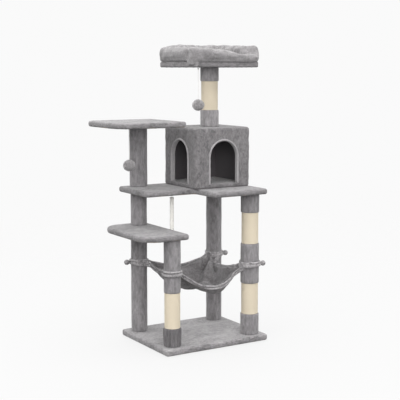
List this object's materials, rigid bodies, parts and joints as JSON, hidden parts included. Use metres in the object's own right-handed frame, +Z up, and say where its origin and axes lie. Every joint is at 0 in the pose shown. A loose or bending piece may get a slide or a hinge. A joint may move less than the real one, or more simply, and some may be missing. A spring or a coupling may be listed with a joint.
{
  "type": "cat tree",
  "caption": "Tall plush-covered cat tree with base, posts, platforms, a house with two arched doors, padded perch, hammock, hanging toys and rope.",
  "frame": {"origin": "centre of the base's underside, on the floor", "axes": "+Z up; +X to the right along the long side of the base, seen from the front; +Y to the back"},
  "size_m": [0.7342, 0.475, 1.3973],
  "materials": {
    "plush": "short warp-knit plush glued round boards and tubes, light grey",
    "bed_plush": "long soft plush, light grey with a slight warmth",
    "hammock_plush": "two-layer soft plush, mid grey",
    "pompom_fur": "fluffy grey ball",
    "sisal": "natural sisal rope, close winding, pale straw",
    "cotton_rope": "twisted off-white cotton rope",
    "toy_string": "thin off-white cord",
    "particle_board": "raw particle board",
    "dark_board": "thin board faced in charcoal plush inside",
    "cardboard_tube": "spiral-wound cardboard with glued wooden end plugs",
    "steel": "zinc-plated"
  },
  "bodies": {
    "root": {"base_board": "particle_board", "base_bolt_front_left": "steel", "base_bolt_front_right": "steel", "base_bolt_rear_left": "steel", "base_bolt_rear_right": "steel", "base_cover": "plush", "front_left_post_lower_sleeve": "plush", "front_left_post_sisal": "sisal", "front_left_post_tube": "cardboard_tube", "front_left_post_upper_sleeve": "plush", "front_right_post_lower_sisal": "sisal", "front_right_post_lower_sleeve": "plush", "front_right_post_middle_sleeve": "plush", "front_right_post_tube": "cardboard_tube", "front_right_post_upper_sisal": "sisal", "front_right_post_upper_sleeve": "plush", "hammock": "hammock_plush", "house_cover": "plush", "house_floor": "plush", "house_front_panel": "dark_board", "house_left_panel": "dark_board", "house_rear_panel": "dark_board", "house_right_panel": "dark_board", "house_roof_board": "dark_board", "lower_platform_board": "particle_board", "lower_platform_cover": "plush", "lower_platform_stud": "steel", "middle_platform_board": "particle_board", "middle_platform_bolt": "steel", "middle_platform_cover": "plush", "middle_platform_stud": "steel", "perch_board": "particle_board", "perch_bolster": "bed_plush", "perch_bolt": "steel", "perch_cover": "plush", "perch_pad": "bed_plush", "perch_post_lower_sleeve": "plush", "perch_post_sisal": "sisal", "perch_post_tube": "cardboard_tube", "perch_post_upper_sleeve": "plush", "rear_left_post_lower_sleeve": "plush", "rear_left_post_lower_tube": "cardboard_tube", "rear_left_post_middle_sleeve": "plush", "rear_left_post_middle_tube": "cardboard_tube", "rear_left_post_upper_sleeve": "plush", "rear_left_post_upper_tube": "cardboard_tube", "rear_right_post_sleeve": "plush", "rear_right_post_tube": "cardboard_tube", "roof_bolt": "steel", "side_platform_board": "particle_board", "side_platform_cover": "plush"},
    "perch_toy_knot": {"perch_toy_knot": "toy_string"},
    "perch_toy": {"perch_toy_string": "toy_string", "perch_toy_pompom": "pompom_fur"},
    "side_toy_knot": {"side_toy_knot": "toy_string"},
    "side_toy": {"side_toy_string": "toy_string", "side_toy_pompom": "pompom_fur"},
    "rope_eye": {"hanging_rope_eye": "cotton_rope"},
    "rope": {"hanging_rope": "cotton_rope", "hanging_rope_end_knot": "cotton_rope"}
  },
  "joints": [
    {"name": "perch_toy_swing_x", "type": "hinge", "parent": "root", "child": "perch_toy_knot", "pos_m": [-0.024, -0.077, 1.285], "axis": [1, 0, 0], "range_deg": [-60, 22]},
    {"name": "perch_toy_swing_y", "type": "hinge", "parent": "perch_toy_knot", "child": "perch_toy", "pos_m": [-0.024, -0.077, 1.285], "axis": [0, 1, 0], "range_deg": [-20, 60]},
    {"name": "side_toy_swing_x", "type": "hinge", "parent": "root", "child": "side_toy_knot", "pos_m": [-0.318, 0.046, 1.013], "axis": [1, 0, 0], "range_deg": [-60, 18]},
    {"name": "side_toy_swing_y", "type": "hinge", "parent": "side_toy_knot", "child": "side_toy", "pos_m": [-0.318, 0.046, 1.013], "axis": [0, 1, 0], "range_deg": [-18, 60]},
    {"name": "rope_swing_x", "type": "hinge", "parent": "root", "child": "rope_eye", "pos_m": [-0.105, 0.028, 0.7], "axis": [1, 0, 0], "range_deg": [-40, 40]},
    {"name": "rope_swing_y", "type": "hinge", "parent": "rope_eye", "child": "rope", "pos_m": [-0.105, 0.028, 0.7], "axis": [0, 1, 0], "range_deg": [-40, 7]}
  ]
}
